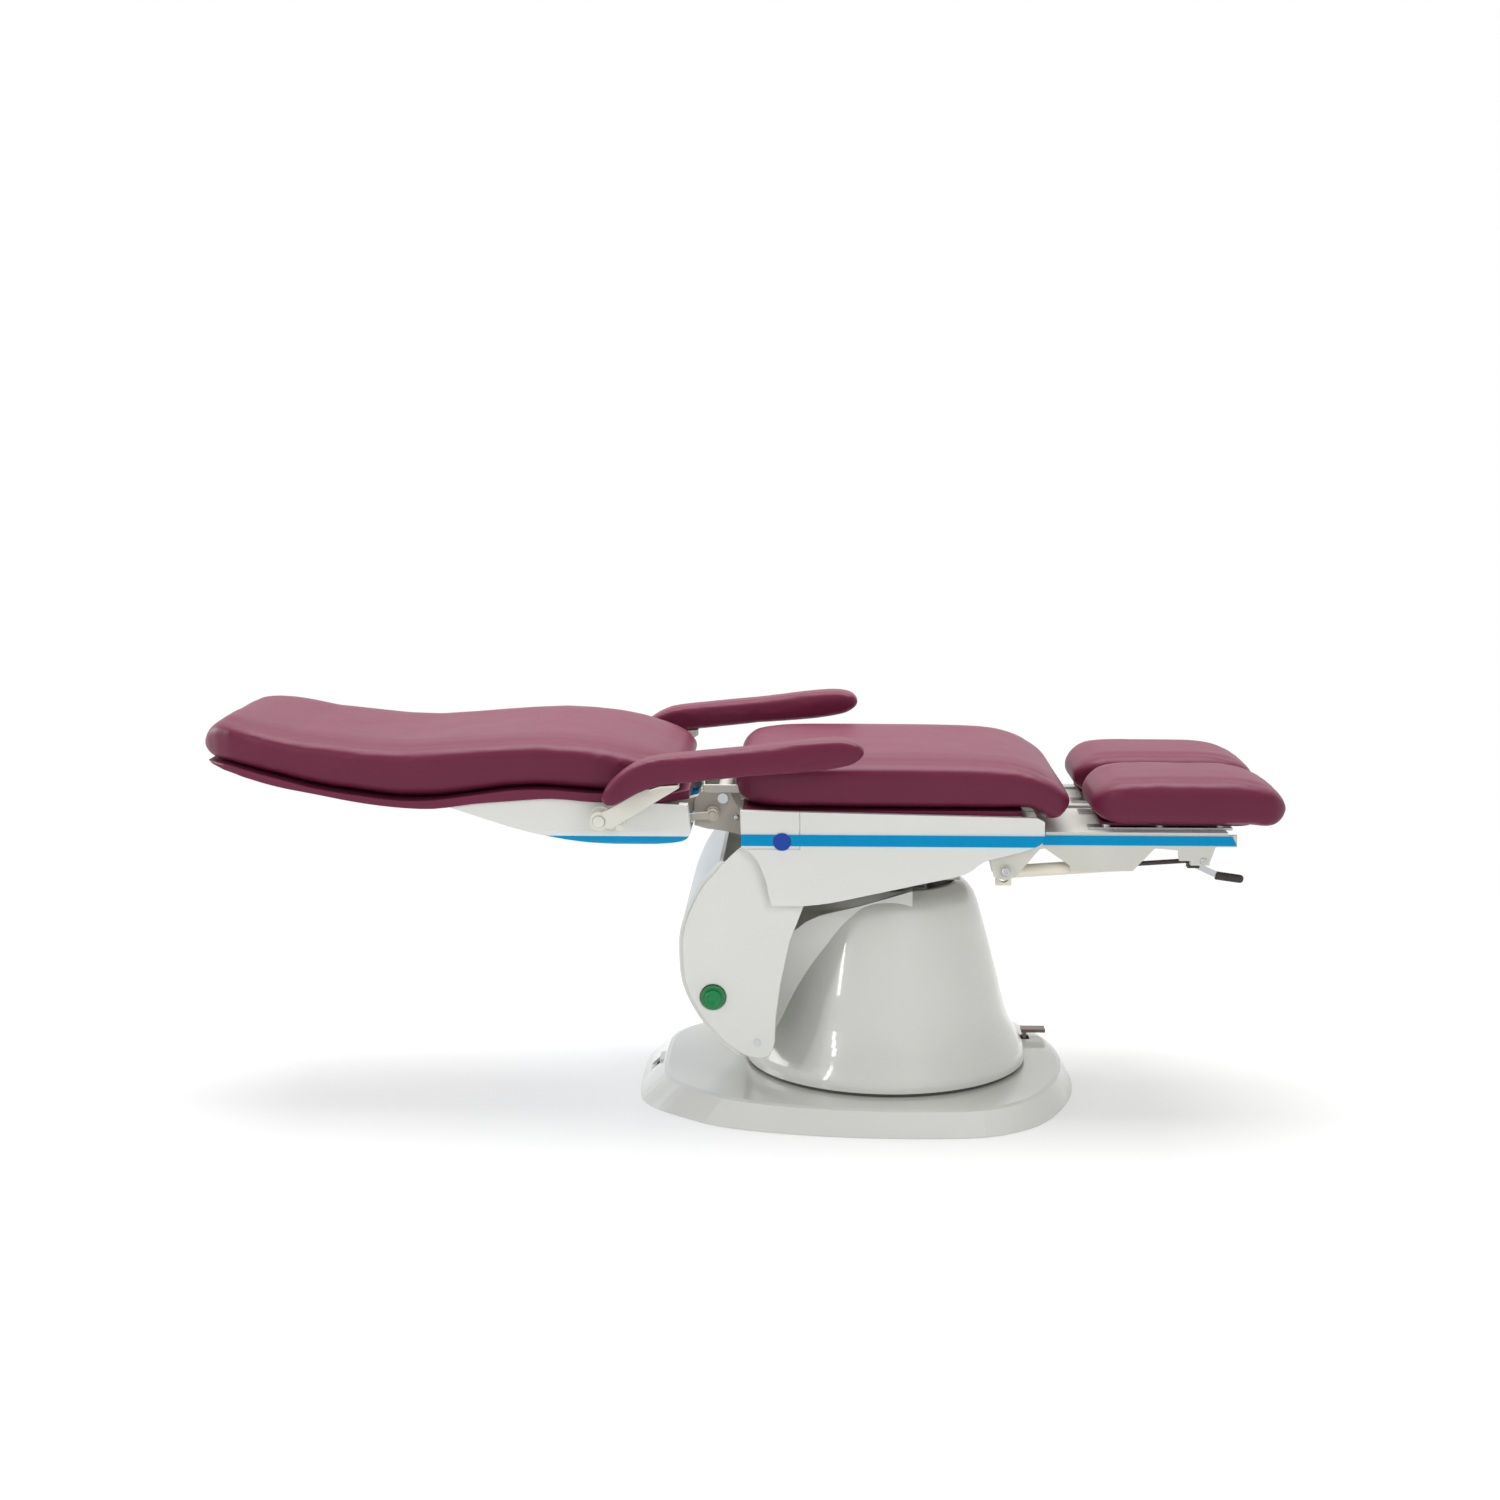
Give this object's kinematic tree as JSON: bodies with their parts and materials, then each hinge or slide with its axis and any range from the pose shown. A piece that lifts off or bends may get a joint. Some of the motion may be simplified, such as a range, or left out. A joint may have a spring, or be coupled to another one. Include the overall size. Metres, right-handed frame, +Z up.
{
  "type": "treatment chair",
  "caption": "Powered treatment chair lying flat, with a swivel lifting pedestal, tilting seat, reclining back, folding armrests and a split leg rest.",
  "frame": {"origin": "on the floor, on the pedestal's swivel axis", "axes": "+X along the chair to its foot end, +Z up, -Y to the patient's right"},
  "size_m": [1.85, 0.681, 0.666],
  "materials": {
    "upholstery": "burgundy leathercloth with a soft satin sheen",
    "upholstery_panel": "burgundy leathercloth stretched over a board",
    "cover_white": "white moulded plastic, satin",
    "pedestal_white": "glossy greyish white moulded plastic",
    "trim_blue": "bright blue trim",
    "cap_blue": "plain dark blue cap",
    "button_green": "green push button",
    "bezel_green": "dark green bezel",
    "frame_grey": "light grey powder coated steel",
    "frame_dark": "warm grey painted steel",
    "bracket_cream": "light warm grey painted steel",
    "gas_cream": "cream painted cylinder",
    "steel_bright": "turned bright steel",
    "steel_dark": "dark oiled steel",
    "motor_black": "black actuator housing",
    "grip_dark": "dark grip",
    "plywood": "birch plywood",
    "plate_steel": "grey primed steel plate",
    "pedal_metal": "brownish grey painted steel"
  },
  "bodies": {
    "base": {"base_plate": "plate_steel", "base_cover": "pedestal_white", "swivel_ring": "steel_dark", "mains_inlet": "pedestal_white"},
    "brake_pedal": {"brake_pedal": "pedal_metal"},
    "pedestal": {"swivel_plate": "steel_dark", "pedestal_cover": "pedestal_white", "column_outer": "steel_bright", "lift_drive": "steel_dark"},
    "column_stage": {"column_middle": "steel_bright"},
    "carriage": {"column_inner": "steel_bright", "head_bracket": "frame_dark", "tilt_shaft": "steel_bright", "tilt_motor": "frame_dark", "rear_side_cover_right": "cover_white", "rear_side_cover_left": "cover_white", "rear_cover": "cover_white", "cover_screws": "steel_bright", "button_bezel": "bezel_green"},
    "button": {"push_button": "button_green"},
    "tilt_rod": {"tilt_rod": "steel_bright"},
    "seat": {"seat_frame": "frame_dark", "hinge_pins": "steel_bright", "recline_motor": "motor_black", "seat_side_cover_right": "cover_white", "seat_side_cover_left": "cover_white", "side_stripes": "trim_blue", "side_caps": "cap_blue", "seat_board": "plywood", "seat_cushion": "upholstery"},
    "recline_rod": {"recline_rod": "steel_bright"},
    "backrest": {"back_frame": "frame_dark", "back_shell": "cover_white", "shell_trim": "trim_blue", "back_panel": "upholstery_panel", "back_cushion": "upholstery"},
    "arm_hub_right": {"arm_hub_right": "steel_bright"},
    "level_link_right": {"level_link_right": "frame_dark"},
    "armrest_right": {"arm_bracket_right": "bracket_cream", "arm_pad_right": "upholstery"},
    "leg_right": {"leg_frame_right": "frame_grey", "leg_trim_right": "trim_blue", "gas_rod_right": "grip_dark"},
    "gas_cylinder_right": {"gas_cylinder_right": "gas_cream"},
    "release_lever_right": {"release_lever_right": "grip_dark"},
    "leg_rest_right": {"leg_runner_right": "steel_bright", "leg_board_right": "plywood", "leg_cushion_right": "upholstery"},
    "arm_hub_left": {"arm_hub_left": "steel_bright"},
    "level_link_left": {"level_link_left": "frame_dark"},
    "armrest_left": {"arm_bracket_left": "bracket_cream", "arm_pad_left": "upholstery"},
    "leg_left": {"leg_frame_left": "frame_grey", "leg_trim_left": "trim_blue", "gas_rod_left": "grip_dark"},
    "gas_cylinder_left": {"gas_cylinder_left": "gas_cream"},
    "release_lever_left": {"release_lever_left": "grip_dark"},
    "leg_rest_left": {"leg_runner_left": "steel_bright", "leg_board_left": "plywood", "leg_cushion_left": "upholstery"}
  },
  "joints": [
    {"name": "swivel", "type": "hinge", "parent": "base", "child": "pedestal", "pos_m": [0, 0, 0.03], "axis": [0, 0, 1], "range_deg": [-160, 160]},
    {"name": "brake_pedal_rock", "type": "hinge", "parent": "base", "child": "brake_pedal", "pos_m": [0.262, 0.12, 0.026], "axis": [0, 1, 0], "range_deg": [-6, 6]},
    {"name": "column_stage", "type": "slide", "parent": "pedestal", "child": "column_stage", "axis": [0, 0, 1], "range_m": [0, 0.15]},
    {"name": "lift", "type": "slide", "parent": "pedestal", "child": "carriage", "axis": [0, 0, 1], "range_m": [0, 0.3]},
    {"name": "button_press", "type": "slide", "parent": "carriage", "child": "button", "axis": [0, 1, 0], "range_m": [0, 0.004], "stiffness_N_per_m": 600, "springref_m": -0.001},
    {"name": "seat_tilt", "type": "hinge", "parent": "carriage", "child": "seat", "pos_m": [-0.235, 0, 0.455], "axis": [0, -1, 0], "range_deg": [0, 15]},
    {"name": "tilt_rod_slide", "type": "slide", "parent": "carriage", "child": "tilt_rod", "axis": [0, 0, 1], "range_m": [0, 0.08958]},
    {"name": "recline", "type": "hinge", "parent": "seat", "child": "backrest", "pos_m": [-0.285, 0, 0.545], "axis": [0, 1, 0], "range_deg": [0, 70]},
    {"name": "recline_rod_slide", "type": "slide", "parent": "seat", "child": "recline_rod", "axis": [1, 0, 0], "range_m": [-0.06903, 0]},
    {"name": "arm_level_right", "type": "hinge", "parent": "backrest", "child": "arm_hub_right", "pos_m": [-0.485, -0.266, 0.525], "axis": [0, 1, 0], "range_deg": [-70, 0]},
    {"name": "link_turn_right", "type": "hinge", "parent": "seat", "child": "level_link_right", "pos_m": [-0.30156, -0.201, 0.51998], "axis": [0, 1, 0], "range_deg": [0, 70]},
    {"name": "arm_fold_right", "type": "hinge", "parent": "arm_hub_right", "child": "armrest_right", "pos_m": [-0.485, -0.29, 0.525], "axis": [0, -1, 0], "range_deg": [0, 90]},
    {"name": "knee_right", "type": "hinge", "parent": "seat", "child": "leg_right", "pos_m": [0.231, -0.13, 0.485], "axis": [0, 1, 0], "range_deg": [0, 80]},
    {"name": "gas_slide_right", "type": "slide", "parent": "leg_right", "child": "gas_cylinder_right", "axis": [0.9976, 0, 0.0698], "range_m": [0, 0.08352]},
    {"name": "lever_pull_right", "type": "hinge", "parent": "leg_right", "child": "release_lever_right", "pos_m": [0.507, -0.208, 0.44237], "axis": [0, -1, 0], "range_deg": [0, 10], "stiffness_Nm_per_rad": 0.6, "springref_deg": -20.05},
    {"name": "leg_extend_right", "type": "slide", "parent": "leg_right", "child": "leg_rest_right", "axis": [1, 0, 0], "range_m": [0, 0.12]},
    {"name": "arm_level_left", "type": "hinge", "parent": "backrest", "child": "arm_hub_left", "pos_m": [-0.485, 0.266, 0.525], "axis": [0, 1, 0], "range_deg": [-70, 0]},
    {"name": "link_turn_left", "type": "hinge", "parent": "seat", "child": "level_link_left", "pos_m": [-0.30156, 0.201, 0.51998], "axis": [0, 1, 0], "range_deg": [0, 70]},
    {"name": "arm_fold_left", "type": "hinge", "parent": "arm_hub_left", "child": "armrest_left", "pos_m": [-0.485, 0.29, 0.525], "axis": [0, -1, 0], "range_deg": [0, 90]},
    {"name": "knee_left", "type": "hinge", "parent": "seat", "child": "leg_left", "pos_m": [0.231, 0.13, 0.485], "axis": [0, 1, 0], "range_deg": [0, 80]},
    {"name": "gas_slide_left", "type": "slide", "parent": "leg_left", "child": "gas_cylinder_left", "axis": [0.9976, 0, 0.0698], "range_m": [0, 0.08352]},
    {"name": "lever_pull_left", "type": "hinge", "parent": "leg_left", "child": "release_lever_left", "pos_m": [0.507, 0.208, 0.44237], "axis": [0, -1, 0], "range_deg": [0, 10], "stiffness_Nm_per_rad": 0.6, "springref_deg": -20.05},
    {"name": "leg_extend_left", "type": "slide", "parent": "leg_left", "child": "leg_rest_left", "axis": [1, 0, 0], "range_m": [0, 0.12]}
  ],
  "couplings": [
    {"joint": "column_stage", "follows": "lift", "ratio": 0.5},
    {"joint": "tilt_rod_slide", "follows": "seat_tilt", "m_per_rad": 0.34142},
    {"joint": "recline_rod_slide", "follows": "recline", "m_per_rad": -0.05634},
    {"joint": "arm_level_right", "follows": "recline", "ratio": -1},
    {"joint": "link_turn_right", "follows": "recline", "ratio": 1},
    {"joint": "gas_slide_right", "follows": "knee_right", "m_per_rad": 0.05968},
    {"joint": "arm_level_left", "follows": "recline", "ratio": -1},
    {"joint": "link_turn_left", "follows": "recline", "ratio": 1},
    {"joint": "gas_slide_left", "follows": "knee_left", "m_per_rad": 0.05968}
  ]
}
